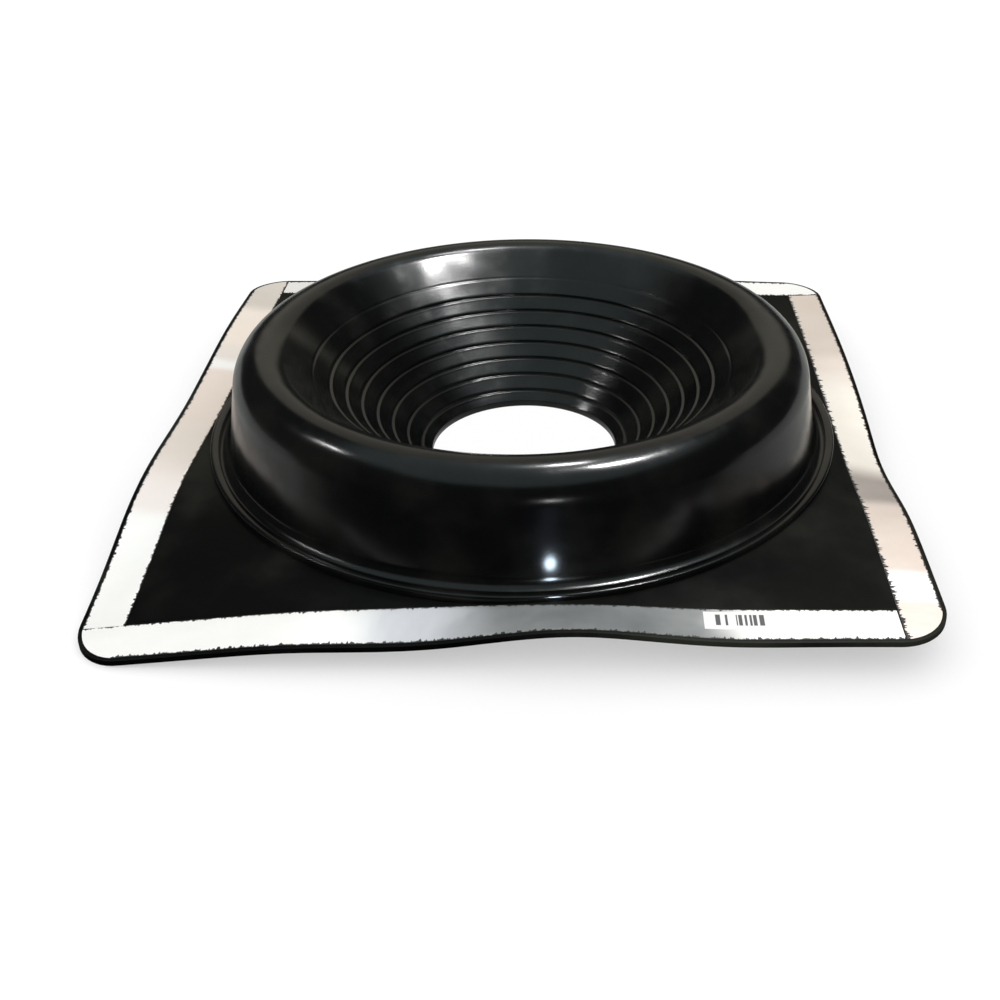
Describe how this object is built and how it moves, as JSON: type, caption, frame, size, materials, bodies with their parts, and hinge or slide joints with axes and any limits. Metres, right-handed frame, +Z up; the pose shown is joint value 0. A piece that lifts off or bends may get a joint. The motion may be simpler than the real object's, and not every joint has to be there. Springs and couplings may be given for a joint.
{
  "type": "pipe flashing boot",
  "caption": "Square rubber roof flashing boot with a fat rolled rim, an inward stepped cone round an open pipe hole, and soft aluminium strips let into the flange edge.",
  "frame": {"origin": "on the axis of the pipe hole, at the level of the surface that the boot lies on (foot of the cone's lip)", "axes": "+Z up along the pipe; +X and +Y along the flange's sides, front strip with the label on the -Y side"},
  "size_m": [0.45, 0.45, 0.0855],
  "materials": {
    "rubber": "glossy moulded black EPDM rubber",
    "strip": "soft mill-finish aluminium, slightly creased",
    "label": "matt white paper with plain black bars"
  },
  "bodies": {
    "root": {"rubber_boot": "rubber", "edge_strip_front": "strip", "edge_strip_right": "strip", "edge_strip_back": "strip", "edge_strip_left": "strip", "stock_label": "label"}
  },
  "joints": []
}
